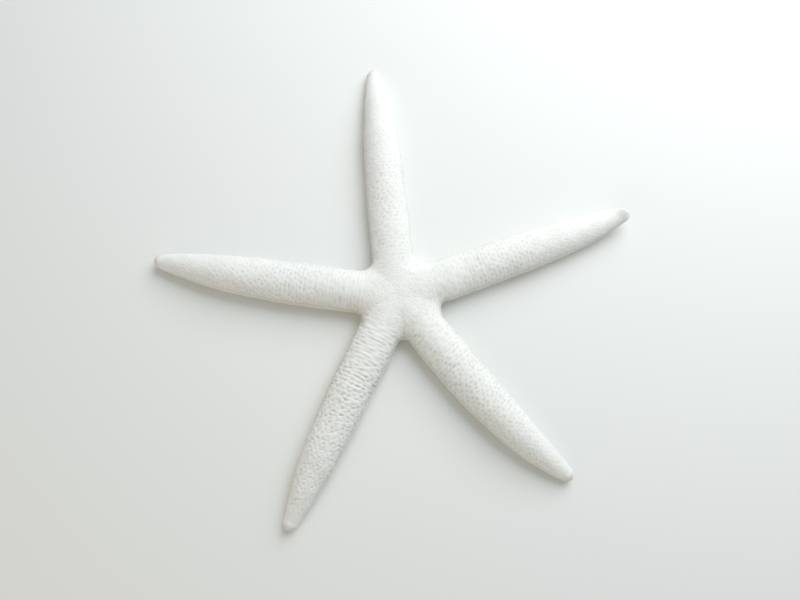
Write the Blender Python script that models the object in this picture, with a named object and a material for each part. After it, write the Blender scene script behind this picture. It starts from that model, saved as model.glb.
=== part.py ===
"""Dried finger starfish, bleached white, lying on its mouth side.

It grew as one piece, so it is one solid: a small disc with five long, nearly round arms. Each arm
starts as a small window of faces in the side of the disc, and is extruded ring by ring to its tip.
Neighbouring arms share the upright line of the crotch between them. The roof and the floor of the
disc are extruded inwards from the rims that the arms leave, and the floor holds the mouth.

Metres, +Z up. The body rests on z = 0, and the origin is under the middle of its bounding box.
"""

from collections import namedtuple
from math import cos, pi, radians, sin, sqrt

import bmesh
import bpy
from mathutils import Vector

MM = 0.001

# heading: bearing of the tip from the middle of the disc, anticlockwise from +X
# reach:   distance of the tip from the middle of the disc
# sway:    sideways offsets of the midline's control points at one and two thirds of the reach
# girth:   width against the common arm
# curl:    how far the end of the arm rises off the ground
# hook:    how much further its tip turns up
Arm = namedtuple("Arm", "heading reach sway girth curl hook")

ARMS = (
    Arm(radians(20.1), 123.4 * MM, (0.0 * MM, -0.6 * MM), 0.98, 3.5 * MM, 2.5 * MM),
    Arm(radians(96.3), 122.9 * MM, (0.9 * MM, -1.2 * MM), 0.98, 0.8 * MM, 0.0),
    Arm(radians(171.2), 122.8 * MM, (1.4 * MM, 2.0 * MM), 1.02, 1.8 * MM, 0.0),
    Arm(radians(245.0), 121.4 * MM, (-1.6 * MM, -2.0 * MM), 1.00, 0.6 * MM, 0.0),
    Arm(radians(313.5), 119.8 * MM, (-2.0 * MM, -7.0 * MM), 1.00, 0.8 * MM, 0.0),
)

# The common arm is ARM_WIDTH * (1 - TAPER * t ** TAPER_POWER) wide, a part t of the way to its tip
ARM_WIDTH = 21.2 * MM
TAPER = 0.75
TAPER_POWER = 4.4
ROOT_FLATNESS = 0.69          # height over width at the root
TIP_FLATNESS = 0.80           # height over width at the tip
CURL_START = 0.72             # where the end of an arm begins to rise, as a part of the reach
HOOK_START = 0.90             # where the tip begins to turn up, as a part of the reach
DOME_START = 0.972            # where the rounded end begins, as a part of the reach
DOME_RING = 0.80              # size of the ring halfway round the rounded end

# Cross-section: a round back over a flat sole with a groove along its middle
BELLY = 0.32                  # height of the widest point, as a part of the arm's height
BACK_CORNER = radians(25.0)   # angle on the section where the flank meets the back
SOLE_CORNER = radians(-38.0)  # angle on the section where the sole meets the flank
SOLE_FLAT = 0.66              # how far the flat sole reaches from the groove towards its corner
GROOVE_WIDTH = 2.8 * MM
GROOVE_DEPTH = 2.6 * MM
GROOVE_AT_TIP = 0.40          # size of the groove at the tip against its size at the root

# Disc
CROTCH_FILLET = 2.4 * MM      # how far a crotch is filled out from where the arms' sides would cross
FILLET_LENGTH = 4.5 * MM      # how far along the arm the fillet reaches
FILLET_FOCUS = 4.0            # power by which the fillet's pull fades from the flank up the back
DISC_HEIGHT = 14.6 * MM
ROOF_CROWN = 2.4              # power by which the roof falls towards the crotches
MOUTH_DEPTH = 4.4 * MM
GROOVE_AT_MOUTH = 0.50        # width of a groove at the mouth against its width at the disc's rim
ROOF_RINGS = (0.68, 0.36)     # rings of the roof, as parts of the way out to the rim
FLOOR_RINGS = (0.60, 0.24)    # rings of the floor: the last is the lip of the mouth

# Mesh
COLUMNS = 6                   # faces across the back and across the sole of an arm
ROWS = 3                      # faces up each flank
RINGS = 15                    # rings of an arm, from the disc to the rounded end
WELD = 0.01 * MM
GROOVE_SEAT = 2.0 / COLUMNS + 0.01  # seats up to here are the groove's own
EDGE_SEAT = 0.99              # seats from here out lie on the edge of an arm's window
SEAT_DIGITS = 6               # digits that tell one seat from the next

# Chalky skeleton, bleached
BONE_WHITE = (0.80, 0.81, 0.76, 1.0)
BONE_ROUGHNESS = 0.85


def ease(x):
    """Go smoothly from 0 to 1 as x goes from 0 to 1."""
    x = min(max(x, 0.0), 1.0)
    return x * x * (3.0 - 2.0 * x)


def sign(x):
    return 1.0 if x > 0.0 else -1.0


def arm_point(arm, t, side, up):
    """Place beside and above an arm's midline, a part t of the way to its tip."""
    forward = Vector((cos(arm.heading), sin(arm.heading), 0.0))
    left = Vector((-forward.y, forward.x, 0.0))
    near, far = arm.sway
    rest = 1.0 - t
    offset = 3.0 * t * rest * (rest * near + t * far)
    turn = 3.0 * (rest * (1.0 - 3.0 * t) * near + t * (2.0 - 3.0 * t) * far) / arm.reach
    across = (left - turn * forward).normalized()
    lift = arm.curl * ease((t - CURL_START) / (1.0 - CURL_START))
    lift += arm.hook * ease((t - HOOK_START) / (1.0 - HOOK_START))
    return arm.reach * t * forward + offset * left + side * across + Vector((0.0, 0.0, up + lift))


def crotch(index, side):
    """Plan position of the crotch on an arm's left (side 1) or right (side -1)."""
    heading = ARMS[index].heading
    neighbour = ARMS[(index + int(side)) % len(ARMS)].heading
    half_gap = side * (neighbour - heading) % (2.0 * pi) / 2.0
    radius = ARM_WIDTH / 2.0 / sin(half_gap) + CROTCH_FILLET
    bearing = heading + side * half_gap
    return Vector((radius * cos(bearing), radius * sin(bearing), 0.0))


def root_part(index):
    """Where an arm leaves the disc, as a part of its reach: level with the crotches beside it."""
    arm = ARMS[index]
    forward = Vector((cos(arm.heading), sin(arm.heading), 0.0))
    return (crotch(index, 1.0) + crotch(index, -1.0)).dot(forward) / 2.0 / arm.reach


def ring_point(index, t, u, v):
    """Place of a seat (u, v) on the section of an arm: u runs across from right to left, v runs up."""
    arm = ARMS[index]
    half = arm.girth * ARM_WIDTH * (1.0 - TAPER * t ** TAPER_POWER) / 2.0
    flatness = ROOT_FLATNESS + (TIP_FLATNESS - ROOT_FLATNESS) * t
    height = min(2.0 * half * flatness, DISC_HEIGHT)
    belly = BELLY * height
    on_sole = v < -EDGE_SEAT
    on_flank = abs(u) > EDGE_SEAT

    if on_sole and not on_flank:
        groove = 1.0 + (GROOVE_AT_TIP - 1.0) * t
        if u == 0.0:
            return arm_point(arm, t, 0.0, GROOVE_DEPTH * groove)
        edge = arm_point(arm, t, sign(u) * GROOVE_WIDTH * groove / 2.0, 0.0)
        if abs(u) < GROOVE_SEAT:
            return edge
        point = edge.lerp(ring_point(index, t, sign(u), v), SOLE_FLAT)
        point.z = edge.z
        return point

    if v > EDGE_SEAT:
        angle = pi / 2.0 - u * (pi / 2.0 - BACK_CORNER)
        side = half * cos(angle)
    else:
        angle = SOLE_CORNER + (BACK_CORNER - SOLE_CORNER) * (v + 1.0) / 2.0
        side = half * cos(angle) * sign(u)
    up = belly + (height - belly if angle > 0.0 else belly) * sin(angle)
    point = arm_point(arm, t, side, up)
    beyond = (t - root_part(index)) * arm.reach
    pull = max(1.0 - beyond / FILLET_LENGTH, 0.0) ** 2 * abs(u) ** FILLET_FOCUS
    edge = crotch(index, sign(u)) + beyond * Vector((cos(arm.heading), sin(arm.heading), 0.0))
    edge.z = point.z
    return point.lerp(edge, pull)


def tip_point(index, u, v, size):
    """Place of a seat on the rounded end. Seats inside the window fill the end in, towards its pole."""
    arm = ARMS[index]
    sole = arm_point(arm, DOME_START, 0.0, 0.0)
    core = (sole + ring_point(index, DOME_START, 0.0, 1.0)) / 2.0
    out = max(abs(u), abs(v))
    edge = ring_point(index, DOME_START, round(u / out, SEAT_DIGITS), round(v / out, SEAT_DIGITS))
    spread = size * out
    length = (1.0 - DOME_START) * arm.reach * sqrt(1.0 - spread * spread)
    onward = arm_point(arm, 1.0, 0.0, 0.0) - sole
    onward.z = 0.0
    return core.lerp(edge, spread) + length * onward.normalized()


def roof_point(index, u, share):
    """Place of a seat on the disc's roof, a part share of the way from its middle to its rim."""
    rim = ring_point(index, root_part(index), u, 1.0)
    fall = (DISC_HEIGHT - rim.z) * share ** ROOF_CROWN
    return Vector((share * rim.x, share * rim.y, DISC_HEIGHT - fall))


def floor_point(index, u, share):
    """Place of a seat on the disc's floor, whose five grooves narrow towards the mouth."""
    arm = ARMS[index]
    root = root_part(index)
    if abs(u) > EDGE_SEAT:
        return share * crotch(index, sign(u))
    rim = ring_point(index, root, u, -1.0)
    if u == 0.0:
        return Vector((share * rim.x, share * rim.y, rim.z))
    width = GROOVE_WIDTH * (GROOVE_AT_MOUTH + (1.0 - GROOVE_AT_MOUTH) * share)
    edge = arm_point(arm, share * root, sign(u) * width / 2.0, 0.0)
    if abs(u) < GROOVE_SEAT:
        return edge
    return edge.lerp(share * crotch(index, sign(u)), SOLE_FLAT)


def grow(bm, seats, faces, place):
    """Extrude a patch of faces, put each new vertex where its seat belongs, and return the new patch."""
    edges = list(dict.fromkeys(edge for face in faces for edge in face.edges))
    new = bmesh.ops.extrude_face_region(bm, geom=faces + edges)["geom"]
    for vert in new:
        if isinstance(vert, bmesh.types.BMVert):
            index, u, v = vert[seats]
            vert.co = place(int(round(index)), round(u, SEAT_DIGITS), round(v, SEAT_DIGITS))
    return [face for face in new if isinstance(face, bmesh.types.BMFace)]


def arm_seat(index, t, u, v):
    """Place of any seat of an arm's window: the inner ones only hold the window's middle."""
    if max(abs(u), abs(v)) > EDGE_SEAT:
        return ring_point(index, t, u, v)
    return arm_point(ARMS[index], t, 0.0, DISC_HEIGHT / 2.0)


def add_arm(bm, seats, index):
    """Draw one arm out of a window of faces, and leave its root open."""
    window = bmesh.ops.create_grid(bm, x_segments=COLUMNS, y_segments=ROWS, size=1.0)["verts"]
    opening = list(dict.fromkeys(face for vert in window for face in vert.link_faces))
    root = root_part(index)
    for vert in window:
        u, v = round(vert.co.x, SEAT_DIGITS), round(vert.co.y, SEAT_DIGITS)
        vert[seats] = (index, u, v)
        vert.co = arm_seat(index, root, u, v)
    faces = opening
    for ring in range(1, RINGS + 1):
        # rings lie closer together at the crotch and at the tip
        part = root + (DOME_START - root) * (1.0 - cos(pi * ring / RINGS)) / 2.0
        faces = grow(bm, seats, faces, lambda i, u, v: arm_seat(i, part, u, v))
    grow(bm, seats, faces, lambda i, u, v: tip_point(i, u, v, DOME_RING))
    bmesh.ops.delete(bm, geom=opening, context="FACES")


def close_disc(bm, seats, level, rings, place, pole_height):
    """Fill the rim that the arms leave (level 1 above, -1 below) with rings that meet in the middle."""
    rim = [edge for edge in bm.edges
           if edge.is_boundary and all(level * vert[seats].z > EDGE_SEAT for vert in edge.verts)]
    faces = bmesh.ops.edgeloop_fill(bm, edges=rim)["faces"]
    for share in rings:
        faces = grow(bm, seats, faces, lambda i, u, v: place(i, u, share))
    pole = bmesh.ops.poke(bm, faces=faces)["verts"][0]
    pole.co = Vector((0.0, 0.0, pole_height))


def make_body():
    """The whole starfish as one closed mesh, moved so that its box stands over the origin."""
    bm = bmesh.new()
    seats = bm.verts.layers.float_vector.new("seat")
    for index in range(len(ARMS)):
        add_arm(bm, seats, index)
    bmesh.ops.remove_doubles(bm, verts=bm.verts, dist=WELD)
    close_disc(bm, seats, 1.0, ROOF_RINGS, roof_point, DISC_HEIGHT)
    close_disc(bm, seats, -1.0, FLOOR_RINGS, floor_point, MOUTH_DEPTH)
    bmesh.ops.recalc_face_normals(bm, faces=bm.faces)

    low = Vector([min(vert.co[axis] for vert in bm.verts) for axis in range(3)])
    high = Vector([max(vert.co[axis] for vert in bm.verts) for axis in range(3)])
    middle = (low + high) / 2.0
    bmesh.ops.translate(bm, verts=bm.verts, vec=(-middle.x, -middle.y, -low.z))

    mesh = bpy.data.meshes.new("starfish")
    bm.to_mesh(mesh)
    bm.free()
    mesh.shade_smooth()
    return mesh


def make_bone():
    """Bleached skeleton: chalky, matt and very slightly warm."""
    material = bpy.data.materials.new("bleached_skeleton")
    material.use_nodes = True
    shader = material.node_tree.nodes["Principled BSDF"]
    shader.inputs["Base Color"].default_value = BONE_WHITE
    shader.inputs["Roughness"].default_value = BONE_ROUGHNESS
    shader.inputs["Metallic"].default_value = 0.0
    return material


def main():
    for old in list(bpy.data.objects):
        bpy.data.objects.remove(old, do_unlink=True)
    body = bpy.data.objects.new("starfish", make_body())
    body.data.materials.append(make_bone())
    bpy.context.scene.collection.objects.link(body)


main()
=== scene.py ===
"""Looks of a dried finger starfish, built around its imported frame.

Three pieces make it: the body wall with its rows of plates, the blunt spines that guard the grooves of
the underside, and the sieve plate on the back. The file is laid out as an add-on: sizes and colours are
properties, each piece has an operator, and main() runs them in order.

Metres, +Z up, in the frame's own coordinates. Seen from above, +X is right and +Y is away.
"""

import random
from collections import namedtuple
from math import cos, exp, hypot, pi, radians, sin, sqrt

import bmesh
import bpy
from bpy.props import FloatProperty, FloatVectorProperty, IntProperty, PointerProperty, StringProperty
from mathutils import Matrix, Vector, noise
from mathutils.bvhtree import BVHTree
from mathutils.kdtree import KDTree


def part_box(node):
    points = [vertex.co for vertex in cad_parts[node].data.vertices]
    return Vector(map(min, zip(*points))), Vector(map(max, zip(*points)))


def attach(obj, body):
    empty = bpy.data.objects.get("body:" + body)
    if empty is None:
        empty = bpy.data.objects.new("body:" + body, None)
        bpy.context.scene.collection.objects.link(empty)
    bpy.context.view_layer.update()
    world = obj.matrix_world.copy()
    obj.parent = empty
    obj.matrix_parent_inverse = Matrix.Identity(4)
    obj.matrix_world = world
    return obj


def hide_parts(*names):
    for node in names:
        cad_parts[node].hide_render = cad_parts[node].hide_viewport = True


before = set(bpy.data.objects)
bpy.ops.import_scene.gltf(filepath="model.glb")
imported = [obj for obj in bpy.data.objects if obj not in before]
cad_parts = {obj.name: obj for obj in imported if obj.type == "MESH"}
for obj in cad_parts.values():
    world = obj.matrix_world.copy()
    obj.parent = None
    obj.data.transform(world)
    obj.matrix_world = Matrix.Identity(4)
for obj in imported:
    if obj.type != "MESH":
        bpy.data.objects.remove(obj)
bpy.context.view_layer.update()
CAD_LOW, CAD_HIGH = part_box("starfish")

bl_info = {
    "name": "Dried Finger Starfish",
    "version": (1, 0, 0),
    "blender": (4, 5, 0),
    "location": "3D View > Sidebar > Starfish",
    "description": "Builds a bleached, dried finger starfish and a plain stage for it",
    "category": "Add Mesh",
}

MM = 0.001

# The frame's five arms. heading: bearing of the tip from the middle of the disc, anticlockwise from +X;
# reach: distance of the tip; sway: sideways offsets of the midline's control points at one and two
# thirds of the reach; girth: width against the common arm; curl: how far its end rises; hook: how much
# further its tip turns up; lean: how far the end faces up; scoop: how far its back is hollowed before the
# tip; ribbed: how far the plates near the disc run together into ribs; slit: how far its dimples are drawn
# out into slits; carved: depth of the relief against the deepest.
Arm = namedtuple("Arm", "heading reach sway girth curl hook lean scoop ribbed slit carved")
ARMS = (
    Arm(radians(20.1), 123.4 * MM, (0.0 * MM, -0.6 * MM), 0.98, 3.5 * MM, 2.5 * MM,
        0.30, 0.9 * MM, 0.7, 0.2, 0.66),
    Arm(radians(96.3), 122.9 * MM, (0.9 * MM, -1.2 * MM), 0.98, 0.8 * MM, 0.0,
        0.15, 0.0, 0.3, 0.0, 0.62),
    Arm(radians(171.2), 122.8 * MM, (1.4 * MM, 2.0 * MM), 1.02, 1.8 * MM, 0.0,
        0.15, 0.0, 1.0, 0.1, 0.72),
    Arm(radians(245.0), 121.4 * MM, (-1.6 * MM, -2.0 * MM), 1.00, 0.6 * MM, 0.0,
        0.05, 0.0, 1.0, 1.0, 0.98),
    Arm(radians(313.5), 119.8 * MM, (-2.0 * MM, -7.0 * MM), 1.00, 0.8 * MM, 0.0,
        0.05, 0.0, 0.6, 0.55, 0.84),
)

# Shape of an arm and the disc. The values are the frame's, but the rounded ends begin a little sooner
# and the roof is a little fuller, and the frame has neither the lean nor the scoop.
TAPER = 0.75                  # an arm is width * (1 - TAPER * t ** TAPER_POWER) wide at a part t of its reach
TAPER_POWER = 4.4
ROOT_FLATNESS = 0.69          # height over width at the root
TIP_FLATNESS = 0.80           # height over width at the tip
CURL_START = 0.72             # where the end of an arm begins to rise, as a part of the reach
HOOK_START = 0.90             # where the tip begins to turn up, as a part of the reach
LEAN_START = 0.90             # where the sections begin to lean back, as a part of the reach
DOME_START = 0.965            # where the rounded end begins, as a part of the reach
SCOOP_PLACE = 0.966           # middle of the hollow in the back, as a part of the reach
SCOOP_LENGTH = 0.030          # length of the hollow, likewise
BELLY = 0.32                  # height of the widest point, as a part of the arm's height
BACK_CORNER = radians(25.0)   # angle on the section where the flank meets the back
SOLE_CORNER = radians(-38.0)  # angle on the section where the sole meets the flank
GROOVE_AT_TIP = 0.40          # size of the groove at the tip against its size at the root
CROTCH_FILLET = 2.4 * MM      # how far a crotch is filled out from where the arms' sides would cross
FILLET_LENGTH = 4.5 * MM      # how far along the arm the fillet reaches
FILLET_FOCUS = 4.0            # power by which the fillet's pull fades from the flank up the back
ROOF_CROWN = 3.0              # power by which the roof falls towards the crotches
GROOVE_AT_MOUTH = 0.50        # width of a groove at the mouth against its width at the disc's rim
MOUTH_LIP = 0.24              # where the mouth's lip is, as a part of the way out to the rim
WEB_START = 0.60              # where the web between two arms begins to rise off the ground, likewise

# Outline of half the sole, from its corner to the middle of the groove. Each point is a side, as a part
# of the arm's half width plus a part of the groove's half width, and a height, as a part of the belly's
# height plus a part of the groove's depth.
SOLE_OUTLINE = (
    (0.788, 0.00, 0.385, 0.00),
    (0.715, 0.00, 0.190, 0.00),
    (0.630, 0.00, 0.060, 0.00),
    (0.530, 0.00, 0.006, 0.00),
    (0.400, 0.00, 0.000, 0.00),
    (0.230, 0.55, 0.000, 0.02),
    (0.080, 0.90, 0.000, 0.10),
    (0.000, 0.98, 0.000, 0.36),
    (0.000, 0.76, 0.000, 0.68),
    (0.000, 0.38, 0.000, 0.94),
    (0.000, 0.00, 0.000, 1.00),
)

# Mesh of the body wall: a ring of an arm runs over the back from left to right, down the right flank,
# along the sole to the left, and up the left flank
BACK = 40
FLANK = 12
SOLE = 2 * (len(SOLE_OUTLINE) - 1)
AROUND = BACK + 2 * FLANK + SOLE
RINGS = 197
DOME_RINGS = 8
ROOF_RINGS = 40
FLOOR_RINGS = 16
MOUTH_RINGS = 5
TREAD = 3                     # step of the sole's outline that lies on the ground
WELD = 0.01 * MM


class StarfishShape(bpy.types.PropertyGroup):
    arm_width: FloatProperty(
        name="Arm width", description="Width of the common arm where it is widest",
        default=21.2 * MM, unit="LENGTH")
    disc_height: FloatProperty(
        name="Disc height", description="Height of the disc, and of the arms at their roots",
        default=CAD_HIGH.z - CAD_LOW.z, unit="LENGTH")
    groove_width: FloatProperty(
        name="Groove width", description="Width of the groove under an arm, at the root",
        default=2.8 * MM, unit="LENGTH")
    groove_depth: FloatProperty(
        name="Groove depth", description="Depth of the groove under an arm, at the root",
        default=2.6 * MM, unit="LENGTH")
    mouth_depth: FloatProperty(
        name="Mouth depth", description="Depth of the mouth's bowl",
        default=4.4 * MM, unit="LENGTH")


class StarfishRelief(bpy.types.PropertyGroup):
    row_pitch: FloatProperty(
        name="Row pitch", description="Distance between rows of plates along an arm",
        default=2.05 * MM, unit="LENGTH")
    plate_width: FloatProperty(
        name="Plate width", description="Width of a plate across an arm",
        default=2.9 * MM, unit="LENGTH")
    rib_width: FloatProperty(
        name="Rib width", description="Width of the ribs that plates run together into near the disc",
        default=7.5 * MM, unit="LENGTH")
    disc_pitch: FloatProperty(
        name="Disc pitch", description="Distance between the small plates of the disc",
        default=1.6 * MM, unit="LENGTH")
    slit_depth: FloatProperty(
        name="Slit depth", description="Depth of the furrows between ribs",
        default=0.50 * MM, unit="LENGTH")
    seam_depth: FloatProperty(
        name="Seam depth", description="Depth of the seams between plates of one row",
        default=0.07 * MM, unit="LENGTH")
    pit_depth: FloatProperty(
        name="Pit depth", description="Depth of the deepest pits and slits between plates",
        default=0.55 * MM, unit="LENGTH")
    crease_depth: FloatProperty(
        name="Crease depth", description="Depth of the creases along the flanks",
        default=0.30 * MM, unit="LENGTH")
    swell: FloatProperty(
        name="Swell", description="Height of the slow unevenness that drying leaves",
        default=0.35 * MM, unit="LENGTH")
    seed: IntProperty(
        name="Seed", description="Seed of the plates' irregularity",
        default=11)


class StarfishColours(bpy.types.PropertyGroup):
    bone: StringProperty(
        name="Bone", description="Bleached skeleton on the back, as an sRGB hex value",
        default="#F6F7F5")
    # on the body wall this is partly the less bleached tone low down and partly painted warm shade on the
    # sides turned from the key light
    ivory: StringProperty(
        name="Ivory", description="Less bleached skeleton on the flanks and underside",
        default="#E3DEC8")
    # painted shade: this colour darkens the slits, pits and flank creases, where shade falls
    painted_recess_shade: StringProperty(
        name="Pore", description="Grit and shade that stays in the slits and pits",
        default="#CAC9BE")
    # greys the ends of the arms a little, and is painted shade in the hollow before the right arm's tip
    grey_and_painted_shade: StringProperty(
        name="Worn", description="Rubbed ends of the arms, greyer than the rest",
        default="#C9CBC5")
    floor: StringProperty(
        name="Floor", description="Plain floor",
        default="#EFF1F0")


class StarfishStage(bpy.types.PropertyGroup):
    distance: FloatProperty(
        name="Camera distance", description="Distance of the camera from the point that it looks at",
        default=314.0 * MM, unit="LENGTH")
    elevation: FloatProperty(
        name="Camera elevation", description="Height of the camera's line of sight above the floor",
        default=radians(80.0), subtype="ANGLE")
    field: FloatProperty(
        name="Field of view", description="Width of the camera's view",
        default=radians(65.0), subtype="ANGLE")
    aim: FloatVectorProperty(
        name="Aim", description="Point that the camera looks at, from the middle of the disc's underside",
        default=(0.97 * MM, -0.70 * MM, 0.0), subtype="TRANSLATION")
    key_power: FloatProperty(
        name="Key power", description="Power of the large soft light",
        default=3.20)
    fill_power: FloatProperty(
        name="Fill power", description="Power of the weak warm light",
        default=0.60)
    sky: FloatProperty(
        name="Sky", description="Strength of the even light from all around",
        default=0.42)


# ---------------------------------------------------------------- shape


def ease(x):
    """Go smoothly from 0 to 1 as x goes from 0 to 1."""
    x = min(max(x, 0.0), 1.0)
    return x * x * (3.0 - 2.0 * x)


def mix(a, b, share):
    return a + (b - a) * share


def forward(arm):
    return Vector((cos(arm.heading), sin(arm.heading), 0.0))


def arm_point(arm, t, side, up):
    """Place beside and above an arm's midline, a part t of the way to its tip."""
    ahead = forward(arm)
    left = Vector((-ahead.y, ahead.x, 0.0))
    near, far = arm.sway
    rest = 1.0 - t
    offset = 3.0 * t * rest * (rest * near + t * far)
    turn = 3.0 * (rest * (1.0 - 3.0 * t) * near + t * (2.0 - 3.0 * t) * far) / arm.reach
    across = (left - turn * ahead).normalized()
    lift = arm.curl * ease((t - CURL_START) / (1.0 - CURL_START))
    lift += arm.hook * ease((t - HOOK_START) / (1.0 - HOOK_START))
    return arm.reach * t * ahead + offset * left + side * across + Vector((0.0, 0.0, up + lift))


def crotch(shape, index, side):
    """Plan position of the crotch on an arm's left (side 1) or right (side -1)."""
    heading = ARMS[index].heading
    neighbour = ARMS[(index + side) % len(ARMS)].heading
    half_gap = side * (neighbour - heading) % (2.0 * pi) / 2.0
    radius = shape.arm_width / 2.0 / sin(half_gap) + CROTCH_FILLET
    bearing = heading + side * half_gap
    return Vector((radius * cos(bearing), radius * sin(bearing), 0.0))


def root_part(shape, index):
    """Where an arm leaves the disc, as a part of its reach: level with the crotches beside it."""
    arm = ARMS[index]
    return (crotch(shape, index, 1) + crotch(shape, index, -1)).dot(forward(arm)) / 2.0 / arm.reach


def half_width(shape, arm, t):
    return arm.girth * shape.arm_width * (1.0 - TAPER * t ** TAPER_POWER) / 2.0


def arm_height(shape, arm, t):
    return min(2.0 * half_width(shape, arm, t) * mix(ROOT_FLATNESS, TIP_FLATNESS, t), shape.disc_height)


def filleted(shape, index, t, point, side, focus):
    """Draw a point of an arm's section towards the crotch on its side, the more so the nearer it is."""
    arm = ARMS[index]
    beyond = (t - root_part(shape, index)) * arm.reach
    if beyond >= FILLET_LENGTH:
        return point
    edge = crotch(shape, index, 1 if side > 0.0 else -1) + beyond * forward(arm)
    edge.z = point.z
    return point.lerp(edge, (1.0 - beyond / FILLET_LENGTH) ** 2 * focus ** FILLET_FOCUS)


def hollow(t):
    """Depth of the hollow before an arm's tip, a part t of the way to it, against the deepest."""
    return exp(-((t - SCOOP_PLACE) / SCOOP_LENGTH) ** 2)


def round_point(shape, index, t, angle):
    """Point of an arm's back or flank at an angle on the section: 0 is left, a right angle is up."""
    arm = ARMS[index]
    half = half_width(shape, arm, t)
    height = arm_height(shape, arm, t)
    belly = BELLY * height
    up = belly + (height - belly if sin(angle) > 0.0 else belly) * sin(angle)
    up -= arm.scoop * hollow(t) * max(sin(angle), 0.0) ** 2
    point = arm_point(arm, t, half * cos(angle), up)
    lean = arm.lean * ease((t - LEAN_START) / (DOME_START - LEAN_START))
    point -= lean * (up - belly) * forward(arm)
    focus = min(abs(pi / 2.0 - angle) / (pi / 2.0 - BACK_CORNER), 1.0)
    return filleted(shape, index, t, point, cos(angle), focus)


def sole_point(shape, index, t, step):
    """Point of an arm's sole, step by step along its outline from the right corner to the left one."""
    arm = ARMS[index]
    half = half_width(shape, arm, t)
    belly = BELLY * arm_height(shape, arm, t)
    groove = mix(1.0, GROOVE_AT_TIP, t)
    part_side, groove_side, part_up, groove_up = SOLE_OUTLINE[min(step, SOLE - step)]
    side = part_side * half + groove_side * groove * shape.groove_width / 2.0
    side = -side if step < SOLE // 2 else side
    up = part_up * belly + groove_up * groove * shape.groove_depth
    point = arm_point(arm, t, side, up)
    lean = arm.lean * ease((t - LEAN_START) / (DOME_START - LEAN_START))
    point -= lean * (up - belly) * forward(arm)
    return filleted(shape, index, t, point, side, min(abs(side) / half / cos(SOLE_CORNER), 1.0))


def ring_point(shape, index, t, column):
    """Point of an arm's ring at one of the AROUND columns."""
    if column <= BACK:
        return round_point(shape, index, t, mix(pi - BACK_CORNER, BACK_CORNER, 1.0 - column / BACK))
    column -= BACK
    if column <= FLANK:
        return round_point(shape, index, t, pi - mix(BACK_CORNER, SOLE_CORNER, column / FLANK))
    column -= FLANK
    if column <= SOLE:
        return sole_point(shape, index, t, column)
    column -= SOLE
    return round_point(shape, index, t, mix(SOLE_CORNER, BACK_CORNER, column / FLANK))


def dome_point(shape, index, column, size):
    """Point of the rounded end of an arm, size being 1 where it begins and 0 at its pole."""
    arm = ARMS[index]
    top = round_point(shape, index, DOME_START, pi / 2.0)
    right = sole_point(shape, index, DOME_START, TREAD)
    left = sole_point(shape, index, DOME_START, SOLE - TREAD)
    core = (top + (right + left) / 2.0) / 2.0
    onward = arm_point(arm, 1.0, 0.0, 0.0) - arm_point(arm, DOME_START, 0.0, 0.0)
    onward.z = 0.0
    length = (1.0 - DOME_START) * arm.reach * sqrt(1.0 - size * size)
    return core.lerp(ring_point(shape, index, DOME_START, column), size) + length * onward.normalized()


def roof_point(shape, index, column, share):
    """Point of the disc's roof, a part share of the way from its middle to its rim."""
    rim = ring_point(shape, index, root_part(shape, index), column)
    fall = (shape.disc_height - rim.z) * share ** ROOF_CROWN
    return Vector((share * rim.x, share * rim.y, shape.disc_height - fall))


def floor_point(shape, index, column, share):
    """Point of the disc's floor, whose five grooves narrow towards the mouth."""
    arm = ARMS[index]
    root = root_part(shape, index)
    step = column - BACK - FLANK
    rim = ring_point(shape, index, root, column)
    across = SOLE_OUTLINE[min(step, SOLE - step)]
    side = -1 if step < SOLE // 2 else 1
    groove = mix(GROOVE_AT_MOUTH, 1.0, share) * shape.groove_width / 2.0
    inner = arm_point(arm, share * root, side * across[1] * groove, 0.0)
    point = inner.lerp(share * crotch(shape, index, side), across[0] / cos(SOLE_CORNER))
    point.z = across[3] * shape.groove_depth
    web = max(share - WEB_START, 0.0) / (1.0 - WEB_START)
    point.z += (rim.z - point.z) * web * web
    return point


def mouth_point(shape, index, column, size):
    """Point of the mouth's bowl, size being 1 at its lip and 0 at its pole."""
    lip = floor_point(shape, index, column, MOUTH_LIP)
    return Vector((size * lip.x, size * lip.y, mix(lip.z, shape.mouth_depth, sqrt(1.0 - size * size))))


def standing(shape):
    """Move that takes a shape drawn around the disc's middle to its place in the frame.

    The arms' rounded ends, and the stretch before each that is three times as long, hold all that
    reaches furthest.
    """
    ends = [dome_point(shape, index, column, size / DOME_RINGS)
            for index in range(len(ARMS)) for column in range(AROUND) for size in range(DOME_RINGS + 1)]
    ends += [ring_point(shape, index, mix(DOME_START, 1.0, -3.0 + 0.1 * step), column)
             for index in range(len(ARMS)) for column in range(AROUND) for step in range(30)]
    low = Vector([min(point[axis] for point in ends) for axis in range(3)])
    high = Vector([max(point[axis] for point in ends) for axis in range(3)])
    middle = (CAD_LOW + CAD_HIGH - low - high) / 2.0
    return Vector((middle.x, middle.y, CAD_LOW.z))


# ---------------------------------------------------------------- body wall


def extrude_ring(bm, seats, edges, place):
    """Extrude a loop of edges, and put each new vertex where its seat belongs."""
    new = bmesh.ops.extrude_edge_only(bm, edges=edges)["geom"]
    for vert in new:
        if isinstance(vert, bmesh.types.BMVert):
            vert.co = place(*divmod(vert[seats], AROUND))
    return [edge for edge in new if isinstance(edge, bmesh.types.BMEdge)]


def close_ring(bm, edges, pole):
    """Fill a small ring of edges with a fan around a pole."""
    faces = bmesh.ops.edgeloop_fill(bm, edges=edges)["faces"]
    bmesh.ops.poke(bm, faces=faces)["verts"][0].co = pole


def join(bm, part):
    """Add a finished part to a bmesh, and free it."""
    mesh = bpy.data.meshes.new("part")
    part.to_mesh(mesh)
    part.free()
    bm.from_mesh(mesh)
    bpy.data.meshes.remove(mesh)


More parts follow.
